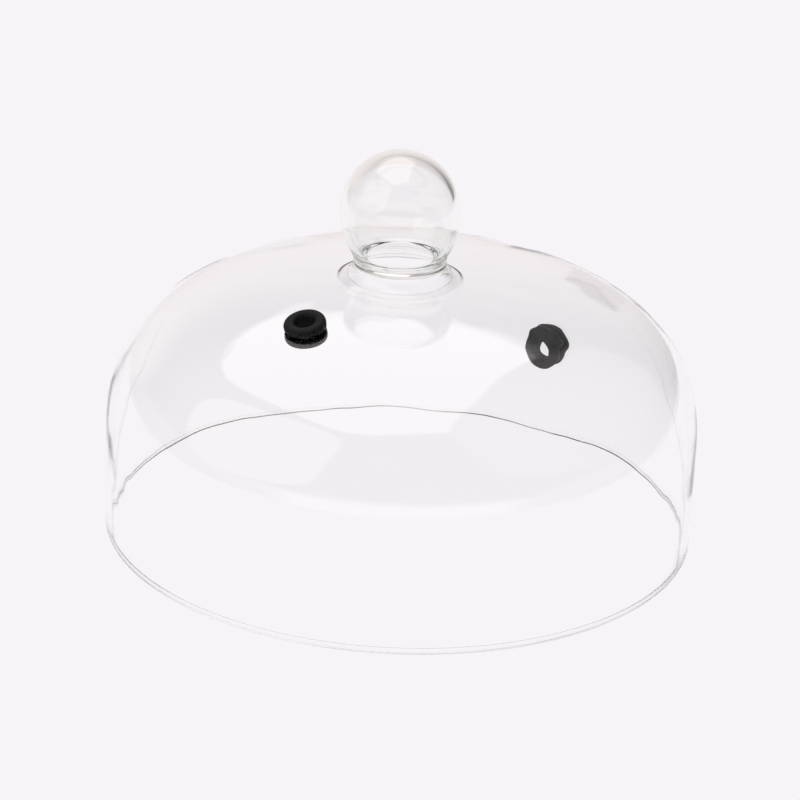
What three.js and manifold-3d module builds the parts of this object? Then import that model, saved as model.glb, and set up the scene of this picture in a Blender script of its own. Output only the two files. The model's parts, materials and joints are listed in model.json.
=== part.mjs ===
// A blown glass dome cover: the dome, a hollow ball knob fused on its crown, and two rubber grommets
// that line its hose ports. Millimetres, +Z up. The origin is the centre of the circle that the rim
// rests on, the dome's axis is Z, and the front is -Y.
import * as THREE from "three";
import { mergeVertices } from "three/addons/utils/BufferGeometryUtils.js";
import Module from "manifold-3d";

const wasm = await Module();
wasm.setup();

// Dome: a straight wall, then one curve over the shoulder to the middle of the crown.
const DOME_RADIUS = 125;
const WALL_HEIGHT = 45.5;
const CROWN_HEIGHT = 112.5;
const SHOULDER_PULL = 60; // how far the curve keeps the wall's direction
const CROWN_PULL = 62; // how far from the axis the curve is already level
const GLASS = 2.4;
const RIM_LAND = 1; // width of the flat ring that stands on the table

// Knob: a ball a little longer below than above, a pinched neck, and a foot fused on the crown.
const KNOB_OFFSET = -4.1; // the knob is set by hand, off the dome's axis along X
const KNOB_LEAN = THREE.MathUtils.degToRad(2.2); // and leans the same way
const BALL_RADIUS = 25;
const BALL_CENTRE = 28.8; // above the middle of the crown
const BALL_RISE = 25.6;
const BALL_DROP = 30;
const BALL_GLASS = 2.7;
const NECK_TOP_RADIUS = 20; // where the ball's curve ends and the neck's begins
const NECK_PULL_RADIUS = 17.5; // the neck's curve is drawn in towards this radius
const NECK_PULL_HEIGHT = 6.8;
const NECK_GLASS = 4.2; // pinching the neck thickens it
const FLARE_RISE = 0.8; // height over which the neck spreads to the foot
const FOOT_RADIUS = 25;
const FOOT_THICKNESS = 1.8;
const FOOT_ROUND = 0.6;
const FOOT_BORE = 21.2;
const SEAM_LEDGE = 0.6; // the crown's hole is this much smaller than the foot's bore

// Ports: round holes in the glass, one in the crown and one in the wall, nearly opposite.
const UPPER_PORT_RADIUS = 64.3; // from the dome's axis
const UPPER_PORT_AZIMUTH = THREE.MathUtils.degToRad(-129.3);
const LOWER_PORT_HEIGHT = 40.4;
const LOWER_PORT_AZIMUTH = THREE.MathUtils.degToRad(58.9);

// Grommet: two flanges with a groove between them that takes the edge of the glass.
const GROMMET_BORE_RADIUS = 4.2;
const GROMMET_NECK_RADIUS = 5.9;
const FLANGE_RADIUS = 8.7;
const FLANGE_THICKNESS = 3.4;
const FLANGE_ROUND = 0.8;
const LIP_ROUND = 1.6; // where the bore opens into each face
const BOW = 0.35; // how far the curved glass bows within one flange

const GAP = 0.3; // between pieces that touch on the real object
const PORT_HOLE_RADIUS = GROMMET_NECK_RADIUS + GAP;
const CROWN_HOLE_RADIUS = FOOT_BORE - SEAM_LEDGE;
const CUTTER_LENGTH = 6 * GLASS;
const MERGE_DISTANCE = 1e-4;
const CURVE_TOLERANCE = 1e-9;

const DOME_SEGMENTS = 72;
const KNOB_SEGMENTS = 40;
const GROMMET_SEGMENTS = 32;
const CROWN_STEPS = 15;
const BALL_STEPS = 8;
const NECK_STEPS = 5;
const ROUND_STEPS = 2;

const CLEAR_GLASS = new THREE.MeshStandardMaterial({
  color: 0xeef2f0,
  roughness: 0.03,
  metalness: 0,
  transparent: true,
  opacity: 0.3,
});
const BLACK_RUBBER = new THREE.MeshStandardMaterial({
  color: 0x121413,
  roughness: 0.75,
  metalness: 0,
});

const UP = new THREE.Vector3(0, 0, 1);

function point(radius, height) {
  return new THREE.Vector2(radius, height);
}

// Points of an elliptical arc about (radius, height), from one angle to another.
function arc(radius, height, radiusAxis, heightAxis, from, to, steps) {
  const turnsBack = to < from;
  const curve = new THREE.EllipseCurve(radius, height, radiusAxis, heightAxis, from, to, turnsBack);
  return curve.getPoints(steps);
}

// A solid of revolution about Z from an outline of radius and height.
function turned(outline, segments) {
  return new THREE.LatheGeometry(outline, segments).rotateX(Math.PI / 2);
}

function solidFrom(geometry) {
  const bare = new THREE.BufferGeometry();
  bare.setAttribute("position", geometry.getAttribute("position"));
  bare.setIndex(geometry.getIndex());
  const merged = mergeVertices(bare, MERGE_DISTANCE);
  const mesh = new wasm.Mesh({
    numProp: 3,
    vertProperties: merged.getAttribute("position").array,
    triVerts: new Uint32Array(merged.getIndex().array),
  });
  return new wasm.Manifold(mesh);
}

function geometryFrom(solid) {
  const mesh = solid.getMesh();
  const geometry = new THREE.BufferGeometry();
  geometry.setAttribute("position", new THREE.BufferAttribute(mesh.vertProperties, 3));
  geometry.setIndex(new THREE.BufferAttribute(mesh.triVerts, 1));
  geometry.computeVertexNormals();
  return geometry;
}

// The dome's side and crown, an inset in from its outer surface: wall top to the axis.
function crownCurve(inset) {
  const share = (DOME_RADIUS - inset) / DOME_RADIUS;
  const radius = DOME_RADIUS - inset;
  const height = CROWN_HEIGHT - inset;
  return new THREE.CubicBezierCurve(
    point(radius, WALL_HEIGHT),
    point(radius, WALL_HEIGHT + SHOULDER_PULL * share),
    point(CROWN_PULL * share, height),
    point(0, height),
  );
}

// One quarter of the rounded rim: towards is -1 for the inner side and 1 for the outer one.
function rimRound(towards, from, to) {
  const round = (GLASS - RIM_LAND) / 2;
  const middle = DOME_RADIUS - GLASS / 2;
  return arc(middle + (towards * RIM_LAND) / 2, round, round, round, from, to, ROUND_STEPS);
}

// Where a circle about the axis meets the crown's outer surface, and the surface's normal there.
function crownPlace(radius, azimuth) {
  const curve = crownCurve(0);
  let low = 0;
  let high = 1;
  while (high - low > CURVE_TOLERANCE) {
    const middle = (low + high) / 2;
    if (curve.getPoint(middle).x > radius) low = middle;
    else high = middle;
  }
  const along = curve.getTangent(low);
  return {
    position: polar(radius, azimuth, curve.getPoint(low).y),
    normal: polar(along.y, azimuth, -along.x).normalize(),
  };
}

function wallPlace(height, azimuth) {
  return {
    position: polar(DOME_RADIUS, azimuth, height),
    normal: polar(1, azimuth, 0),
  };
}

function polar(radius, azimuth, height) {
  return new THREE.Vector3(radius * Math.cos(azimuth), radius * Math.sin(azimuth), height);
}

// Puts an object with its own Z axis along the normal of a place on the glass.
function putAt(object, place) {
  object.position.copy(place.position);
  object.quaternion.setFromUnitVectors(UP, place.normal);
  object.updateMatrix();
  return object;
}

// A round cutter through the glass at a place, long enough to pass both of its faces.
function holeAt(place, radius) {
  const cutter = new THREE.CylinderGeometry(radius, radius, CUTTER_LENGTH, GROMMET_SEGMENTS);
  const turn = putAt(new THREE.Object3D(), place);
  return solidFrom(cutter.rotateX(Math.PI / 2).applyMatrix4(turn.matrix));
}

// The dome turned from its outline, with the round holes cut.
function domeShell(holes) {
  const outline = [
    ...crownCurve(GLASS).getPoints(CROWN_STEPS).reverse(),
    ...rimRound(-1, -Math.PI, -Math.PI / 2),
    ...rimRound(1, -Math.PI / 2, 0),
    ...crownCurve(0).getPoints(CROWN_STEPS),
  ];
  let shell = solidFrom(turned(outline, DOME_SEGMENTS));
  for (const { place, radius } of holes) {
    shell = shell.subtract(holeAt(place, radius));
  }
  return geometryFrom(shell);
}

// One skin of the knob, set in from the outer surface, from the top of the ball to the foot.
function knobSkin(ballInset, neckInset, footRadius, footHeight) {
  const radius = BALL_RADIUS - ballInset;
  const rise = BALL_RISE - ballInset;
  const drop = BALL_DROP - ballInset;
  const neckTop = NECK_TOP_RADIUS - neckInset;
  const neckPull = NECK_PULL_RADIUS - neckInset;
  const end = Math.acos(neckTop / radius);
  const neck = new THREE.CubicBezierCurve(
    point(neckTop, BALL_CENTRE - drop * Math.sin(end)),
    point(neckPull, NECK_PULL_HEIGHT),
    point(neckPull, footHeight + FLARE_RISE),
    point(footRadius, footHeight),
  );
  return [
    ...arc(0, BALL_CENTRE, radius, rise, Math.PI / 2, 0, BALL_STEPS),
    ...arc(0, BALL_CENTRE, radius, drop, 0, -end, BALL_STEPS).slice(1),
    ...neck.getPoints(NECK_STEPS).slice(1),
  ];
}

// The knob stands on its own origin, at the middle of the crown under it, and its foot is cut to the
// crown's curve, so that it has the same gap to the glass all round.
function ballKnob(stand) {
  const base = -FOOT_THICKNESS;
  const rim = FOOT_RADIUS - FOOT_ROUND;
  const outline = [
    ...knobSkin(BALL_GLASS, NECK_GLASS, FOOT_BORE, 0),
    point(FOOT_BORE, base),
    point(FOOT_RADIUS, base),
    ...arc(rim, FOOT_THICKNESS - FOOT_ROUND, FOOT_ROUND, FOOT_ROUND, 0, Math.PI / 2, ROUND_STEPS),
    ...knobSkin(0, 0, rim, FOOT_THICKNESS).reverse().slice(1),
  ];
  const toKnob = stand.matrix.clone().invert();
  const crown = solidFrom(fullDome().translate(0, 0, GAP).applyMatrix4(toKnob));
  return geometryFrom(solidFrom(turned(outline, KNOB_SEGMENTS)).subtract(crown));
}

// The dome's outer shape with nothing hollowed out.
function fullDome() {
  const outline = [point(0, 0), point(DOME_RADIUS, 0), ...crownCurve(0).getPoints(CROWN_STEPS)];
  return turned(outline, DOME_SEGMENTS);
}

// The grommet's own origin is on the outer surface of the glass, at the middle of the port. The groove
// is wider than the glass by the gap on both sides and by the bow of the glass.
function grommet() {
  const grooveTop = GAP;
  const grooveBase = -(GLASS + GAP + BOW);
  const top = grooveTop + FLANGE_THICKNESS;
  const base = grooveBase - FLANGE_THICKNESS;
  const corner = (radius, height, round, from) =>
    arc(radius, height, round, round, from, from + Math.PI / 2, ROUND_STEPS);
  const rim = FLANGE_RADIUS - FLANGE_ROUND;
  const lip = GROMMET_BORE_RADIUS + LIP_ROUND;
  const outline = [
    ...corner(lip, base + LIP_ROUND, LIP_ROUND, -Math.PI),
    ...corner(rim, base + FLANGE_ROUND, FLANGE_ROUND, -Math.PI / 2),
    point(FLANGE_RADIUS, grooveBase),
    point(GROMMET_NECK_RADIUS, grooveBase),
    point(GROMMET_NECK_RADIUS, grooveTop),
    point(FLANGE_RADIUS, grooveTop),
    ...corner(rim, top - FLANGE_ROUND, FLANGE_ROUND, 0),
    ...corner(lip, top - LIP_ROUND, LIP_ROUND, Math.PI / 2),
  ];
  outline.push(outline[0].clone());
  return turned(outline, GROMMET_SEGMENTS);
}

function named(name, geometry, material) {
  const mesh = new THREE.Mesh(geometry, material);
  mesh.name = name;
  return mesh;
}

const upperPort = crownPlace(UPPER_PORT_RADIUS, UPPER_PORT_AZIMUTH);
const lowerPort = wallPlace(LOWER_PORT_HEIGHT, LOWER_PORT_AZIMUTH);
const crownTop = {
  position: new THREE.Vector3(KNOB_OFFSET, 0, CROWN_HEIGHT),
  normal: new THREE.Vector3(-Math.sin(KNOB_LEAN), 0, Math.cos(KNOB_LEAN)),
};

const knobStand = putAt(new THREE.Group(), crownTop);
knobStand.add(named("ball_knob", ballKnob(knobStand), CLEAR_GLASS));

const glassHoles = [
  { place: upperPort, radius: PORT_HOLE_RADIUS },
  { place: lowerPort, radius: PORT_HOLE_RADIUS },
  { place: crownTop, radius: CROWN_HOLE_RADIUS },
];

const cover = new THREE.Group();
cover.add(
  named("dome_shell", domeShell(glassHoles), CLEAR_GLASS),
  knobStand,
  putAt(named("upper_port_grommet", grommet(), BLACK_RUBBER), upperPort),
  putAt(named("lower_port_grommet", grommet(), BLACK_RUBBER), lowerPort),
);

export default cover;
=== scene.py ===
"""Looks of a blown glass dome cover with a ball knob and two rubber grommets, for Blender 4.5.

Metres, +Z up, the front is -Y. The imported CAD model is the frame: it gives every place and the sizes that
the pieces must keep. Each CAD node is replaced by a finer mesh of nearly the same shape. The knob's neck
and foot, the hole under it and the rim differ a little, to look like blown and fused glass.
"""

import json
import math

import bmesh
import bpy
import numpy as np
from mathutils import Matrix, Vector


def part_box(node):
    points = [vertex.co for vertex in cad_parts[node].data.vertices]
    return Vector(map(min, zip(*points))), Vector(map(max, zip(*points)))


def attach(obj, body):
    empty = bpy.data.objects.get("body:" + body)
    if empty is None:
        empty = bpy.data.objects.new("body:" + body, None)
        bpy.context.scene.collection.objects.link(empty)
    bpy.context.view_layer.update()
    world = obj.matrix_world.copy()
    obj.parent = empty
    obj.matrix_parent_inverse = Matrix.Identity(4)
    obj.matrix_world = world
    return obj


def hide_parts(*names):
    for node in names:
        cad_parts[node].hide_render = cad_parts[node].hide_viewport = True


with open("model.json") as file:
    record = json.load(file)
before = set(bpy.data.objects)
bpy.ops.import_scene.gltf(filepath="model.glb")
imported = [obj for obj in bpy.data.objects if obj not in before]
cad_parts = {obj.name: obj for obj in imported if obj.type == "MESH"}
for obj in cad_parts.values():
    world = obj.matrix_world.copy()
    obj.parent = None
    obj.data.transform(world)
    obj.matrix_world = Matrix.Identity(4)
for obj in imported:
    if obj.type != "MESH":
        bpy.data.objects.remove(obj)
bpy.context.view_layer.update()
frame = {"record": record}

MM = 0.001

# Places and sizes that the frame gives.
_, DOME_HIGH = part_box("dome_shell")
BALL_LOW, BALL_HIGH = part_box("ball_knob")
MOUNTS = {mount["name"]: mount for mount in frame["record"]["mounts"]}
DOME_RADIUS = DOME_HIGH.x

# Dome: a straight wall, then one curve over the shoulder to the middle of the crown.
CROWN_HEIGHT = 0.9 * DOME_RADIUS
WALL_HEIGHT = 0.364 * DOME_RADIUS
SHOULDER_PULL = 0.48 * DOME_RADIUS
CROWN_PULL = 0.496 * DOME_RADIUS
GLASS = 2.4 * MM
RIM_GLASS = 3.0 * MM  # fire polishing leaves a bead along the rim
BEAD_LOW = 2.2 * MM  # the bead thins back to the wall between these two heights
BEAD_HIGH = 2.55 * MM
BEAD_ZONE = 3.2 * MM  # the wall below this height is meshed finely
RIM_LAND = 0.9 * MM

# Knob, measured up its own axis from the middle of the crown under it.
KNOB_LEAN = math.radians(2.2)
BALL_RADIUS = 25 * MM
BALL_CENTRE = 28.8 * MM
BALL_RISE = 25.6 * MM
BALL_DROP = 30 * MM
BALL_GLASS = 2.7 * MM
NECK_TOP_RADIUS = 21 * MM
NECK_PULL_RADIUS = 18 * MM
FLARE_PULL = (19.6 * MM, 1.5 * MM)
FOOT_RADIUS = 25 * MM
FOOT_RUN_OUT = 0.6 * MM  # the foot dives into the crown's face over this width
FOOT_BORE = 20.6 * MM
FOOT_SINK = 0.15 * MM  # the foot is fused into the crown's face by this much
NECK_BORE = (17.8 * MM, 4.2 * MM)
BORE_PULLS = ((18 * MM, 2.4 * MM), (19 * MM, 1.4 * MM))
LIP_PULL = 1.4 * MM
THROAT_TOP_RADIUS = 17 * MM
THROAT_RADIUS = 14.3 * MM
THROAT_HEIGHT = 8.4 * MM
THROAT_EASE = 0.8
UNDER_PULL = (NECK_BORE[0] - 0.2 * MM, THROAT_HEIGHT - 1 * MM)
CROWN_HOLE_RADIUS = 20.6 * MM
FOOT_ZONE = 2 * MM  # below this the height counts only from the crown's face
MOUTH_PULL = (22.2 * MM, -1.4 * MM)  # the hole opens below like a bell mouth, from the crown's face
MOUTH_RADIUS = 28 * MM
MOUTH_SPREAD = 0.4  # share of its width over which the mouth stays level with the inner face
BALL_X = (BALL_LOW.x + BALL_HIGH.x) / 2
# Half of the lean would match the CAD's foot. The whole of it puts the knob 0.55 mm further right.
KNOB_X = BALL_X + BALL_CENTRE * math.sin(KNOB_LEAN)
SEAM_EDGE = 6 * MM  # within this distance of the hole the dome's rings are centred under the knob
SEAM_REACH = 60 * MM  # outside this radius the dome's rings are centred on its own axis

# Grommets, along their own axis from the outer face of the glass.
GROMMET_BORE = 4.2 * MM
GROMMET_NECK = 5.9 * MM
FLANGE_RADIUS = 8.7 * MM
FLANGE_THICKNESS = 3.4 * MM
FLANGE_ROUND = 1.5 * MM
PARTING_LINE = 0.1 * MM  # height of the moulding line round each flange
PARTING_HALF = 0.12 * MM  # half of its width
CORNER_NIP = 0.25 * MM  # rounding of the corners beside the groove
RUBBER_SAG = 0.05 * MM
RUBBER_SWELL = 0.006
LIP_ROUND = 1.6 * MM
GROOVE_TOP = 0.3 * MM
GROOVE_BASE = -3.05 * MM
PORT_HOLE_RADIUS = 6.2 * MM
CUTTER_LENGTH = 6 * GLASS

DOME_SEGMENTS = 320
OUTER_STEPS = 112
BEAD_STEPS = 22
RIM_STEPS = 12
EDGE_STEPS = 10
CROWN_STEPS = 4000
BALL_UPPER_STEPS, BALL_LOWER_STEPS = 40, 26
FLARE_STEPS = 34
THROAT_STEPS = (14, 16, 14)
FOOT_STEPS = 8
KNOB_SEGMENTS = 160
GROMMET_SEGMENTS = 112
PORT_SEGMENTS = 96
FLANGE_STEPS = 8
SMOOTH_LIMIT, RUBBER_SMOOTH_LIMIT = math.radians(40), math.radians(50)


# ---------------------------------------------------------------- outlines

def bezier(start, pull_a, pull_b, end, steps):
    """Points of a cubic curve, each one a radius and a height."""
    t = np.linspace(0, 1, steps + 1)[:, None]
    a, b, c, d = (np.array(p, float) for p in (start, pull_a, pull_b, end))
    return (1 - t) ** 3 * a + 3 * (1 - t) ** 2 * t * b + 3 * (1 - t) * t ** 2 * c + t ** 3 * d


def arc(radius, height, radius_axis, height_axis, start, stop, steps):
    """Points of an elliptical arc about (radius, height), between two angles."""
    angles = np.linspace(start, stop, steps + 1)
    return np.stack([radius + radius_axis * np.cos(angles), height + height_axis * np.sin(angles)], 1)


def evenly(points, steps):
    """The same outline with its points spread evenly along its length."""
    lengths = np.hypot(*np.diff(points, axis=0).T)
    along = np.concatenate([[0], np.cumsum(lengths)])
    places = np.linspace(0, along[-1], steps + 1)
    return np.stack([np.interp(places, along, points[:, i]) for i in range(2)], 1)


def smooth_step(value, low, high):
    t = np.clip((value - low) / (high - low), 0, 1)
    return t * t * (3 - 2 * t)


CROWN_CURVE = bezier(
    (DOME_RADIUS, WALL_HEIGHT),
    (DOME_RADIUS, WALL_HEIGHT + SHOULDER_PULL),
    (CROWN_PULL, CROWN_HEIGHT),
    (0, CROWN_HEIGHT),
    CROWN_STEPS,
)


def crown_height(radius):
    """Height of the dome's outer face above the table at a distance from the axis."""
    return np.interp(radius, CROWN_CURVE[::-1, 0], CROWN_CURVE[::-1, 1])


def ripples(angle, along, seed, size, around_range, pitch_range):
    """Small seeded unevenness of blown glass over a grid of angle and length along the outline."""
    draw = np.random.default_rng(seed)
    total = np.zeros(np.broadcast(angle, along).shape)
    for _ in range(RIPPLE_WAVES):
        around = int(draw.integers(*around_range))
        pitch = draw.uniform(*pitch_range)
        phase_a, phase_b = draw.uniform(0, math.tau, 2)
        lobe = np.sin(around * angle + phase_a) * np.sin(math.tau * along / pitch + phase_b)
        total += lobe * draw.uniform(0.4, 1.0) / math.sqrt(around)
    return size * total / math.sqrt(RIPPLE_WAVES)


# ---------------------------------------------------------------- meshes

def add_piece(name, vertices, faces, material, node, smooth_limit=SMOOTH_LIMIT):
    """A smooth mesh object that stands for one CAD node and rides on the only body."""
    mesh = bpy.data.meshes.new(name)
    mesh.from_pydata(vertices.tolist(), [], faces)
    face_out(mesh)
    piece = bpy.data.objects.new(name, mesh)
    bpy.context.scene.collection.objects.link(piece)
    mesh.materials.append(material)
    smooth(piece, smooth_limit)
    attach(piece, "root")
    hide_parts(node)
    return piece


def face_out(mesh):
    """Turns every face of a closed mesh outward."""
    shape = bmesh.new()
    shape.from_mesh(mesh)
    bmesh.ops.recalc_face_normals(shape, faces=shape.faces)
    shape.to_mesh(mesh)
    shape.free()
    mesh.update()


def smooth(piece, limit):
    """Smooth shading, but for edges sharper than the limit."""
    mesh = piece.data
    mesh.polygons.foreach_set("use_smooth", [True] * len(mesh.polygons))
    mesh.set_sharp_from_angle(angle=limit)
    mesh.update()


def ring_faces(rings, segments, closed):
    """Quads between neighbouring rings; closed also joins the last ring to the first."""
    faces = []
    for ring in range(rings if closed else rings - 1):
        here = ring * segments
        there = (ring + 1) % rings * segments
        for i in range(segments):
            j = (i + 1) % segments
            faces.append((here + i, here + j, there + j, there + i))
    return faces


def lathe(outline, segments):
    """Vertices and faces of a closed outline turned about Z."""
    angles = np.linspace(0, math.tau, segments, endpoint=False)
    radius, height = outline[:, :1], outline[:, 1:]
    level = np.broadcast_to(height, (len(outline), segments))
    grid = np.stack([radius * np.cos(angles), radius * np.sin(angles), level], 2)
    return grid.reshape(-1, 3), ring_faces(len(outline), segments, True)


def capped_lathe(outline, segments):
    """As lathe, for an open outline whose first and last points lie on the axis."""
    inner = outline[1:-1]
    vertices, _ = lathe(inner, segments)
    faces = ring_faces(len(inner), segments, False)
    first, last = len(vertices), len(vertices) + 1
    vertices = np.vstack([vertices, [[0, 0, outline[0, 1]], [0, 0, outline[-1, 1]]]])
    top = (len(inner) - 1) * segments
    for i in range(segments):
        j = (i + 1) % segments
        faces.append((first, j, i))
        faces.append((last, top + i, top + j))
    return vertices, faces


def dome_outline():
    """Outer face from the hole to the rim, inner face, outward normals, and length along the outline."""
    outer_curve = CROWN_CURVE[CROWN_CURVE[:, 0] >= CROWN_HOLE_RADIUS][::-1]
    upper = evenly(np.vstack([outer_curve, [[DOME_RADIUS, BEAD_ZONE]]]), OUTER_STEPS)
    lower = evenly(np.array([[DOME_RADIUS, BEAD_ZONE], [DOME_RADIUS, RIM_LAND]]), BEAD_STEPS)
    outer = np.vstack([upper, lower[1:]])
    lengths = np.hypot(*np.diff(outer, axis=0).T)
    along = np.concatenate([[0], np.cumsum(lengths)])
    tangent = np.gradient(outer, along, axis=0)
    tangent /= np.hypot(*tangent.T)[:, None]
    normal = np.stack([-tangent[:, 1], tangent[:, 0]], 1)
    bead = (1 - smooth_step(outer[:, 1], BEAD_LOW, BEAD_HIGH)) * (outer[:, 1] < BEAD_ZONE)
    thickness = GLASS + (RIM_GLASS - GLASS) * bead
    inner = outer - normal * thickness[:, None]
    return outer, inner, normal, along


def rim_arc(outer_end, inner_end):
    """The rounded lower edge, from the outer face to the inner one."""
    middle = (outer_end + inner_end) / 2
    half = abs(outer_end[0] - inner_end[0]) / 2
    return arc(middle[0], middle[1], half, middle[1], 0, -math.pi, RIM_STEPS)[1:-1]


def hole_mouth(inner_start, outer_start):
    """The edge of the crown's hole: a flare from the inner face up to the knob's bore."""
    pull_in = (inner_start[0] - MOUTH_SPREAD * (MOUTH_RADIUS - CROWN_HOLE_RADIUS), inner_start[1])
    pull_out = (MOUTH_PULL[0], outer_start[1] + MOUTH_PULL[1])
    return bezier(inner_start, pull_in, pull_out, outer_start, EDGE_STEPS)[1:-1]


def dome_mesh():
    """Both skins with their ripples, the rim, and the hole with its rings centred under the knob."""
    outer, inner, normal, along = dome_outline()
    angles = np.linspace(0, math.tau, DOME_SEGMENTS, endpoint=False)[None, :]
    along = along[:, None]
    length = along[-1, 0]
    calm = smooth_step(along, 0.0, CALM_CROWN) * (1 - smooth_step(along, length - CALM_RIM, length))
    cord = np.exp(-((angles - CORD_ANGLE) / CORD_WIDTH) ** 2 - ((along - CORD_ALONG) / CORD_LENGTH) ** 2)
    skins = []
    for skin, seed, size in ((outer, 3, OUTER_RIPPLE), (inner, 8, INNER_RIPPLE)):
        push = ripples(angles, along, seed, size, LONG_AROUND, LONG_PITCH)
        fine = ripples(angles, along, seed + 1, FINE_RIPPLE, FINE_AROUND, FINE_PITCH)
        push += fine * (1 + CORD_BOOST * cord) * (skin[:, :1] / DOME_RADIUS) ** FINE_FADE
        push *= calm
        radius = skin[:, :1] + normal[:, :1] * push
        height = skin[:, 1:] + normal[:, 1:] * push
        skins.append((radius, height))
    beside_mouth = inner[:, 0] > MOUTH_RADIUS
    skins[1] = tuple(grid[beside_mouth] for grid in skins[1])
    rim = rim_arc(outer[-1], inner[-1])
    hole = hole_mouth(inner[beside_mouth][0], outer[0])
    flat = np.ones_like(angles)
    radius = np.vstack([skins[0][0], rim[:, :1] * flat, skins[1][0][::-1], hole[:, :1] * flat])
    height = np.vstack([skins[0][1], rim[:, 1:] * flat, skins[1][1][::-1], hole[:, 1:] * flat])
    # Further out the rings ease back to the dome's own axis.
    shift = KNOB_X * (1 - smooth_step(radius, CROWN_HOLE_RADIUS + SEAM_EDGE, SEAM_REACH))
    x = radius * np.cos(angles) + shift
    y = radius * np.sin(angles)
    height = height + crown_height(np.hypot(x, y)) - crown_height(radius)
    grid = np.stack([x, y, height], 2)
    return grid.reshape(-1, 3), ring_faces(len(radius), DOME_SEGMENTS, True)


def port_axis(name):
    """Direction out of the glass along a port."""
    return Vector(MOUNTS[name]["axis"]).normalized()


def box_centre(node):
    """Middle of a CAD node's box."""
    low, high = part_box(node)
    return (low + high) / 2


def cut_port(piece, node, mount):
    """Cuts the round hole of one port through the glass."""
    length = CUTTER_LENGTH
    outline = np.array([[0, -length], [PORT_HOLE_RADIUS, -length], [PORT_HOLE_RADIUS, length], [0, length]])
    vertices, faces = capped_lathe(outline, PORT_SEGMENTS)
    mesh = bpy.data.meshes.new("port_cutter")
    mesh.from_pydata(vertices.tolist(), [], faces)
    cutter = bpy.data.objects.new("port_cutter", mesh)
    bpy.context.scene.collection.objects.link(cutter)
    cutter.matrix_world = axis_matrix(box_centre(node), port_axis(mount))
    bpy.context.view_layer.update()
    cut = piece.modifiers.new("port", "BOOLEAN")
    cut.operation = "DIFFERENCE"
    cut.solver = "EXACT"
    cut.object = cutter
    graph = bpy.context.evaluated_depsgraph_get()
    made = bpy.data.meshes.new_from_object(piece.evaluated_get(graph), depsgraph=graph)
    piece.modifiers.remove(cut)
    old = piece.data
    piece.data = made
    bpy.data.meshes.remove(old)
    bpy.data.objects.remove(cutter)


def axis_matrix(centre, axis):
    """Takes Z to the axis and the origin to the centre."""
    matrix = Vector((0, 0, 1)).rotation_difference(axis).to_matrix().to_4x4()
    matrix.translation = centre
    return matrix


def ball_skin(inset, neck_radius):
    """One skin of the ball from its top down to where the neck begins, and its heading there."""
    radius = BALL_RADIUS - inset
    rise = BALL_RISE - inset
    drop = BALL_DROP - inset
    end = math.acos(neck_radius / radius)
    upper = arc(0, BALL_CENTRE, radius, rise, math.pi / 2, 0, BALL_UPPER_STEPS)
    lower = arc(0, BALL_CENTRE, radius, drop, 0, -end, BALL_LOWER_STEPS)
    heading = np.array([-radius * math.sin(end), -drop * math.cos(end)])
    return np.vstack([upper, lower[1:]]), heading / math.hypot(*heading)


def knob_outer_skin():
    """The ball, the waist under it, and the flare that runs out on the crown."""
    ball, heading = ball_skin(0, NECK_TOP_RADIUS)
    pull = ball[-1] + heading * (NECK_TOP_RADIUS - NECK_PULL_RADIUS) / abs(heading[0])
    foot_end = (FOOT_RADIUS + FOOT_RUN_OUT, -FOOT_SINK)
    return np.vstack([ball, bezier(ball[-1], pull, FLARE_PULL, foot_end, FLARE_STEPS)[1:]])


def knob_inner_skin():
    """The hollow of the ball, narrowed to the throat's ridge and opened again to the crown's hole."""
    ball, heading = ball_skin(BALL_GLASS, THROAT_TOP_RADIUS)
    into = bezier(
        ball[-1],
        ball[-1] + heading * THROAT_EASE * (THROAT_TOP_RADIUS - THROAT_RADIUS),
        (THROAT_RADIUS, THROAT_HEIGHT + LIP_PULL),
        (THROAT_RADIUS, THROAT_HEIGHT),
        THROAT_STEPS[0],
    )
    under = bezier(
        (THROAT_RADIUS, THROAT_HEIGHT),
        (THROAT_RADIUS, THROAT_HEIGHT - LIP_PULL),
        UNDER_PULL,
        NECK_BORE,
        THROAT_STEPS[1],
    )
    out = bezier(NECK_BORE, *BORE_PULLS, (FOOT_BORE, 0), THROAT_STEPS[2])
    return np.vstack([ball, into[1:], under[1:], out[1:]])


def knob_mesh():
    """The knob turned on its own axis, leant, moved over the hole, and its foot bent to the crown."""
    foot = np.array([[FOOT_BORE + FOOT_SINK, -FOOT_SINK], [FOOT_RADIUS, -FOOT_SINK]])
    outline = np.vstack([knob_inner_skin(), evenly(foot, FOOT_STEPS), knob_outer_skin()[::-1]])
    vertices, faces = capped_lathe(outline, KNOB_SEGMENTS)
    lean = math.sin(KNOB_LEAN), math.cos(KNOB_LEAN)
    x = vertices[:, 0] * lean[1] - vertices[:, 2] * lean[0]
    z = vertices[:, 0] * lean[0] + vertices[:, 2] * lean[1]
    y = vertices[:, 1]
    x = x + KNOB_X
    # Near the foot the height counts from the crown's own face, so that the foot lies along it.
    seat = crown_height(np.hypot(x, y)) - vertices[:, 0] * lean[0]
    level = np.full_like(seat, CROWN_HEIGHT)
    share = smooth_step(vertices[:, 2], FOOT_ZONE, BALL_CENTRE)
    z = z + seat * (1 - share) + level * share
    return np.stack([x, y, z], 1), faces


def parting_line(height):
    """The thin raised line that a mould leaves round a flange."""
    low, high = height - PARTING_HALF, height + PARTING_HALF
    return np.array([[FLANGE_RADIUS, low], [FLANGE_RADIUS + PARTING_LINE, height], [FLANGE_RADIUS, high]])


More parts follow.
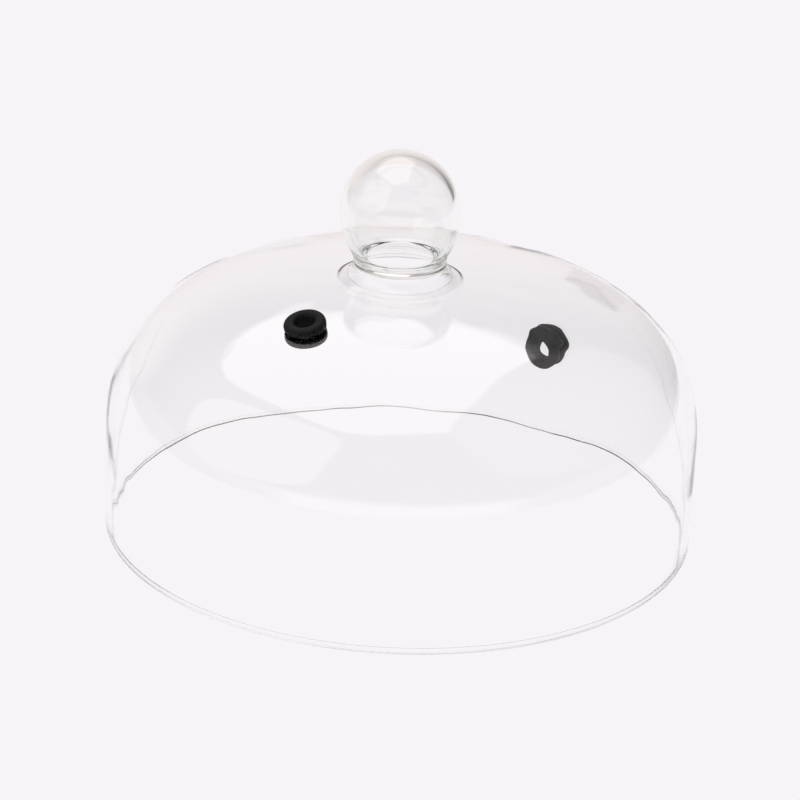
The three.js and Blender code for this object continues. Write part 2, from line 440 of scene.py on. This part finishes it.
def grommet_outline():
    """Two rounded flanges, the groove between them, and the bore, as one closed outline."""
    top = GROOVE_TOP + FLANGE_THICKNESS
    base = GROOVE_BASE - FLANGE_THICKNESS
    rim = FLANGE_RADIUS - FLANGE_ROUND
    lip = GROMMET_BORE + LIP_ROUND
    quarter = math.pi / 2
    nip = CORNER_NIP
    bore = np.array([[GROMMET_BORE, top - LIP_ROUND - nip], [GROMMET_BORE, base + LIP_ROUND + nip]])
    return np.vstack(
        [
            arc(lip, base + LIP_ROUND, LIP_ROUND, LIP_ROUND, -math.pi, -quarter, FLANGE_STEPS),
            arc(rim, base + FLANGE_ROUND, FLANGE_ROUND, FLANGE_ROUND, -quarter, 0, FLANGE_STEPS),
            parting_line(GROOVE_BASE - 0.5 * FLANGE_THICKNESS),
            arc(FLANGE_RADIUS - nip, GROOVE_BASE - nip, nip, nip, 0, quarter, 3),
            evenly(np.array([[FLANGE_RADIUS - 2 * nip, GROOVE_BASE], [GROMMET_NECK, GROOVE_BASE]]), 3),
            evenly(np.array([[GROMMET_NECK, GROOVE_BASE + nip], [GROMMET_NECK, GROOVE_TOP - nip]]), 3),
            evenly(np.array([[GROMMET_NECK, GROOVE_TOP], [FLANGE_RADIUS - 2 * nip, GROOVE_TOP]]), 3),
            arc(FLANGE_RADIUS - nip, GROOVE_TOP + nip, nip, nip, -quarter, 0, 3),
            parting_line(GROOVE_TOP + 0.5 * FLANGE_THICKNESS),
            arc(rim, top - FLANGE_ROUND, FLANGE_ROUND, FLANGE_ROUND, 0, quarter, FLANGE_STEPS),
            arc(lip, top - LIP_ROUND, LIP_ROUND, LIP_ROUND, quarter, math.pi, FLANGE_STEPS),
            evenly(bore, 6),
        ]
    )


def grommet(name, node, mount, material, seed, seat=(0, 0)):
    """A fine grommet with the slight unevenness of moulded rubber and its mould's parting line."""
    outline = grommet_outline()
    vertices, faces = lathe(outline, GROMMET_SEGMENTS)
    angles = np.tile(np.linspace(0, math.tau, GROMMET_SEGMENTS, endpoint=False), len(outline))
    radius = np.hypot(vertices[:, 0], vertices[:, 1])
    draw = np.random.default_rng(seed)
    phase = draw.uniform(0, math.tau, 3)
    outer = smooth_step(radius, GROMMET_NECK, FLANGE_RADIUS)
    sag = RUBBER_SAG * outer * (np.sin(2 * angles + phase[0]) + 0.6 * np.sin(3 * angles + phase[1]))
    swell = 1 + RUBBER_SWELL * outer * np.sin(2 * angles + phase[2])
    vertices[:, :2] *= swell[:, None]
    vertices[:, 2] += sag
    # A grommet pressed in a little askew: its outer flange is fuller on one side.
    squeeze = np.clip((vertices[:, 2] - GROOVE_TOP) / FLANGE_THICKNESS, 0, 1)
    vertices[:, 2] += squeeze * (vertices[:, 0] * seat[0] + vertices[:, 1] * seat[1])
    matrix = np.array(axis_matrix(box_centre(node), port_axis(mount)))
    middle = (GROOVE_TOP + GROOVE_BASE) / 2
    vertices[:, 2] -= middle
    vertices = vertices @ matrix[:3, :3].T + matrix[:3, 3]
    return add_piece(name, vertices, faces, material, node, RUBBER_SMOOTH_LIMIT)


# ---------------------------------------------------------------- materials

def new_material(name):
    """A node material with its tree, its Principled shader and its output."""
    material = bpy.data.materials.new(name)
    material.use_nodes = True
    tree = material.node_tree
    return material, tree, tree.nodes["Principled BSDF"], tree.nodes["Material Output"]


def node(tree, kind, **values):
    """A new shader node with its inputs or properties set by name."""
    made = tree.nodes.new(kind)
    for key, value in values.items():
        if key in made.inputs:
            made.inputs[key].default_value = value
        else:
            setattr(made, key, value)
    return made


def object_noise(tree, scale, detail, roughness):
    """Noise in the object's own space, so that it needs no texture coordinates of the mesh."""
    place = tree.nodes.new("ShaderNodeTexCoord")
    noise = node(tree, "ShaderNodeTexNoise", Scale=scale, Detail=detail, Roughness=roughness)
    tree.links.new(place.outputs["Object"], noise.inputs["Vector"])
    return noise


def mapped(tree, source, from_low, from_high, to_low, to_high):
    """A map range after a value, with smooth ends."""
    ramp = node(tree, "ShaderNodeMapRange", interpolation_type="SMOOTHSTEP")
    ramp.inputs["From Min"].default_value = from_low
    ramp.inputs["From Max"].default_value = from_high
    ramp.inputs["To Min"].default_value = to_low
    ramp.inputs["To Max"].default_value = to_high
    tree.links.new(source, ramp.inputs["Value"])
    return ramp.outputs["Result"]


def glass_material(name, tint, density, cord_scale):
    """Clear blown glass: tinted by its depth, almost mirror smooth, with faint cords."""
    material, tree, shader, output = new_material(name)
    shader.inputs["Base Color"].default_value = (1, 1, 1, 1)
    shader.inputs["IOR"].default_value = GLASS_IOR
    shader.inputs["Transmission Weight"].default_value = 1
    smudge = object_noise(tree, 34, 4, 0.55)
    rough = mapped(tree, smudge.outputs["Fac"], 0.45, 0.75, 0.0, 0.01)
    tree.links.new(rough, shader.inputs["Roughness"])
    cords = object_noise(tree, cord_scale, 2, 0.4)
    bump = node(tree, "ShaderNodeBump", Strength=0.05, Distance=0.2 * MM)
    tree.links.new(cords.outputs["Fac"], bump.inputs["Height"])
    tree.links.new(bump.outputs["Normal"], shader.inputs["Normal"])
    depth = node(tree, "ShaderNodeVolumeAbsorption", Color=(*tint, 1), Density=density)
    tree.links.new(depth.outputs["Volume"], output.inputs["Volume"])
    return material


def rubber_material():
    """Black moulded rubber: a fine matt grain and a little bloom."""
    material, tree, shader, _ = new_material("black_rubber")
    bloom = object_noise(tree, 420, 5, 0.6)
    fine = object_noise(tree, 5200, 3, 0.6)
    colour = node(tree, "ShaderNodeMix", data_type="RGBA")
    colour.inputs["A"].default_value = (0.003, 0.0042, 0.004, 1)
    colour.inputs["B"].default_value = (0.012, 0.0155, 0.0145, 1)
    share = mapped(tree, bloom.outputs["Fac"], 0.42, 0.68, 0.0, 1.0)
    tree.links.new(share, colour.inputs["Factor"])
    tree.links.new(colour.outputs["Result"], shader.inputs["Base Color"])
    rough = mapped(tree, bloom.outputs["Fac"], 0.3, 0.7, 0.52, 0.72)
    tree.links.new(rough, shader.inputs["Roughness"])
    shader.inputs["Specular IOR Level"].default_value = 0.25
    bump = node(tree, "ShaderNodeBump", Strength=0.35, Distance=0.04 * MM)
    tree.links.new(fine.outputs["Fac"], bump.inputs["Height"])
    tree.links.new(bump.outputs["Normal"], shader.inputs["Normal"])
    return material


# ---------------------------------------------------------------- stage

def math_node(tree, operation, *values):
    """A sum of numbers or sockets, by the name of the operation."""
    made = tree.nodes.new("ShaderNodeMath")
    made.operation = operation
    for socket, value in zip(made.inputs, values):
        if isinstance(value, (int, float)):
            socket.default_value = value
        else:
            tree.links.new(value, socket)
    return made.outputs[0]


def dot_with(tree, direction, axis):
    """Share of a direction that lies along a fixed axis."""
    made = tree.nodes.new("ShaderNodeVectorMath")
    made.operation = "DOT_PRODUCT"
    tree.links.new(direction, made.inputs[0])
    made.inputs[1].default_value = axis
    return made.outputs["Value"]


def rounded_mask(tree, u, v, across, upright, soft):
    """1 inside a rectangle with rounded corners, falling to 0 over soft at its edge."""
    total = None
    for value, (low, high) in ((u, across), (v, upright)):
        away = math_node(tree, "SUBTRACT", value, (low + high) / 2)
        share = math_node(tree, "DIVIDE", math_node(tree, "ABSOLUTE", away), (high - low) / 2)
        power = math_node(tree, "POWER", share, CORNER_POWER)
        total = power if total is None else math_node(tree, "ADD", total, power)
    reach = math_node(tree, "POWER", total, 1 / CORNER_POWER)
    return mapped(tree, reach, 1 - soft, 1 + soft, 1.0, 0.0)


def panel_mask(tree, direction, azimuth, elevation, roll, across, upright, soft):
    """Mask of a flat panel one unit away. Azimuth 0 is towards the front, 90 towards +X."""
    turn, lift, lean = (math.radians(a) for a in (azimuth, elevation, roll))
    facing = Vector((math.cos(lift) * math.sin(turn), -math.cos(lift) * math.cos(turn), math.sin(lift)))
    level = Vector((math.cos(turn), math.sin(turn), 0))
    rise = level.cross(facing)
    if rise.z < 0:
        rise = -rise
    right = math.cos(lean) * level + math.sin(lean) * rise
    up = math.cos(lean) * rise - math.sin(lean) * level
    reach = dot_with(tree, direction, facing)
    u = math_node(tree, "DIVIDE", dot_with(tree, direction, right), reach)
    v = math_node(tree, "DIVIDE", dot_with(tree, direction, up), reach)
    ahead = math_node(tree, "GREATER_THAN", reach, PANEL_GRAZE)
    return math_node(tree, "MULTIPLY", rounded_mask(tree, u, v, across, upright, soft), ahead)


def camera_switch(tree, output, seen, other):
    """One closure for rays straight from the camera and another for all the rest."""
    path = tree.nodes.new("ShaderNodeLightPath")
    mix = tree.nodes.new("ShaderNodeMixShader")
    tree.links.new(path.outputs["Is Camera Ray"], mix.inputs[0])
    tree.links.new(other.outputs[0], mix.inputs[1])
    tree.links.new(seen.outputs[0], mix.inputs[2])
    tree.links.new(mix.outputs[0], output.inputs["Surface"])


def studio_world():
    """Plain white straight from the camera. What lights the glass is a dim room with soft panels."""
    world = bpy.data.worlds.new("studio")
    bpy.context.scene.world = world
    world.use_nodes = True
    tree = world.node_tree
    tree.nodes.clear()
    output = tree.nodes.new("ShaderNodeOutputWorld")
    direction = tree.nodes.new("ShaderNodeTexCoord").outputs["Generated"]
    base = tree.nodes.new("ShaderNodeRGB")
    base.outputs[0].default_value = (*ROOM_LIGHT, 1)
    total = base.outputs[0]
    for azimuth, elevation, roll, across, upright, soft, colour in PANELS:
        mask = panel_mask(tree, direction, azimuth, elevation, roll, across, upright, soft)
        total = colour_mix(tree, mask, total, colour)
    seen = node(tree, "ShaderNodeBackground", Color=(1, 1, 1, 1), Strength=WHITE)
    room = tree.nodes.new("ShaderNodeBackground")
    tree.links.new(total, room.inputs["Color"])
    camera_switch(tree, output, seen, room)


def colour_mix(tree, mask, low, high):
    """low where the mask is 0 and high where it is 1; each is a colour or a socket."""
    mix = node(tree, "ShaderNodeMix", data_type="RGBA")
    tree.links.new(mask, mix.inputs[0])
    for socket, value in ((mix.inputs[6], low), (mix.inputs[7], high)):
        if isinstance(value, tuple):
            socket.default_value = (*value, 1)
        else:
            tree.links.new(value, socket)
    return mix.outputs[2]


def floor():
    """A plain pale sheet, one colour all over, the same to the camera and to the glass."""
    mesh = bpy.data.meshes.new("floor")
    half = FLOOR_HALF
    corners = [(-half, -half, 0), (half, -half, 0), (half, half, 0), (-half, half, 0)]
    mesh.from_pydata(corners, [], [(0, 1, 2, 3)])
    sheet = bpy.data.objects.new("floor", mesh)
    bpy.context.scene.collection.objects.link(sheet)
    sheet.location.z = -FLOOR_DROP
    material = bpy.data.materials.new("pale_floor")
    material.use_nodes = True
    tree = material.node_tree
    tree.nodes.clear()
    output = tree.nodes.new("ShaderNodeOutputMaterial")
    glow = node(tree, "ShaderNodeEmission", Color=(*FLOOR_TONE, 1), Strength=1.0)
    tree.links.new(glow.outputs[0], output.inputs["Surface"])
    mesh.materials.append(material)


def camera():
    """A long lens six dome widths away, looking down at the front."""
    pitch, roll = math.radians(CAMERA_PITCH), math.radians(CAMERA_ROLL)
    forward = Vector((0, math.cos(pitch), -math.sin(pitch)))
    level_up = Vector((0, math.sin(pitch), math.cos(pitch)))
    right = math.cos(roll) * Vector((1, 0, 0)) + math.sin(roll) * level_up
    up = math.cos(roll) * level_up - math.sin(roll) * Vector((1, 0, 0))
    data = bpy.data.cameras.new("camera")
    data.sensor_width = 36
    data.lens = CAMERA_LENS
    data.shift_x = CAMERA_SHIFT
    data.clip_end = 100
    made = bpy.data.objects.new("camera", data)
    bpy.context.scene.collection.objects.link(made)
    matrix = made.matrix_world.copy()
    for i in range(3):
        matrix[i][0], matrix[i][1], matrix[i][2] = right[i], up[i], -forward[i]
    target = Vector((0, 0, CROWN_HEIGHT / 2))
    matrix.translation = target - forward * CAMERA_REACH
    made.matrix_world = matrix
    bpy.context.scene.camera = made


# Looks.
GLASS_IOR = 1.5
RIPPLE_WAVES = 26
OUTER_RIPPLE = 0.12 * MM
INNER_RIPPLE = 0.25 * MM
LONG_AROUND, LONG_PITCH = (2, 17), (38 * MM, 130 * MM)
FINE_RIPPLE = 0.075 * MM
FINE_AROUND, FINE_PITCH = (15, 60), (13 * MM, 40 * MM)
FINE_FADE = 1.5  # the fine ripples die out towards the crown with this power of the radius
CALM_CROWN, CALM_RIM = 22 * MM, 2.5 * MM
CORD_ANGLE, CORD_WIDTH = math.radians(322), math.radians(14)
CORD_ALONG, CORD_LENGTH = 60 * MM, 22 * MM
CORD_BOOST = 1.2
CAMERA_PITCH = 23.48
CAMERA_ROLL = 2.59
CAMERA_LENS = 159.57
CAMERA_SHIFT = -0.00365
CAMERA_REACH = 12 * DOME_RADIUS
WHITE = 1.02
CORNER_POWER = 4
PANEL_GRAZE = 0.02  # a panel is left out for directions this close to its own plane
ROOM_LIGHT = (0.2, 0.19, 0.195)
OVERHEAD = (1.25, 1.2, 1.2)
RIGHT_PANEL = (0.42, 0.38, 0.4)
LEFT_PANEL = (0.88, 0.83, 0.82)
SIDE_WALL = (0.5, 0.5, 0.5)
BACKDROP = (0.85, 0.79, 0.78)
FRONT_WALL = (1.35, 1.2, 1.3)
# Azimuth, elevation and roll of each panel's middle line, its ends across and upright, softness, light.
PANELS = (
    (180, 0, 0, (-0.45, 1.3), (-0.8, 0.5), 0.45, BACKDROP),
    (0, 0, 0, (-3.0, 3.0), (-0.5, 0.12), 0.25, FRONT_WALL),
    (90, 0, 0, (-1.0, 1.0), (-0.5, 0.15), 0.3, SIDE_WALL),
    (-90, 0, 0, (-1.0, 1.0), (-0.5, 0.15), 0.3, SIDE_WALL),
    (120, 65, 0, (-0.36, 1.36), (-0.27, 1.2), 0.05, OVERHEAD),
    (100, 20, -25, (-1.42, 0.68), (-0.27, 1.36), 0.04, RIGHT_PANEL),
    (-55, 30, 10, (-0.8, 0.36), (-0.42, 0.63), 0.05, LEFT_PANEL),
)
FLOOR_TONE = (0.93, 0.905, 0.935)
FLOOR_HALF = 0.9
FLOOR_DROP = 0.2 * MM

studio_world()
floor()
camera()

dome_glass = glass_material("clear_glass", (0.93, 0.975, 0.95), density=14, cord_scale=9)
knob_glass = glass_material("knob_glass", (0.9, 0.93, 0.86), density=32, cord_scale=30)
rubber = rubber_material()

vertices, faces = dome_mesh()
dome = add_piece("glass_dome", vertices, faces, dome_glass, "dome_shell")
cut_port(dome, "upper_port_grommet", "upper_port_face")
cut_port(dome, "lower_port_grommet", "lower_port_face")
smooth(dome, SMOOTH_LIMIT)

vertices, faces = knob_mesh()
add_piece("glass_knob", vertices, faces, knob_glass, "ball_knob")
grommet("upper_grommet", "upper_port_grommet", "upper_port_face", rubber, seed=5, seat=(0.05, 0.06))
grommet("lower_grommet", "lower_port_grommet", "lower_port_face", rubber, seed=6)

scene = bpy.context.scene
scene.view_settings.view_transform = "Standard"
scene.cycles.max_bounces = 24
scene.cycles.transmission_bounces = 24
scene.cycles.glossy_bounces = 16
scene.cycles.use_denoising = True
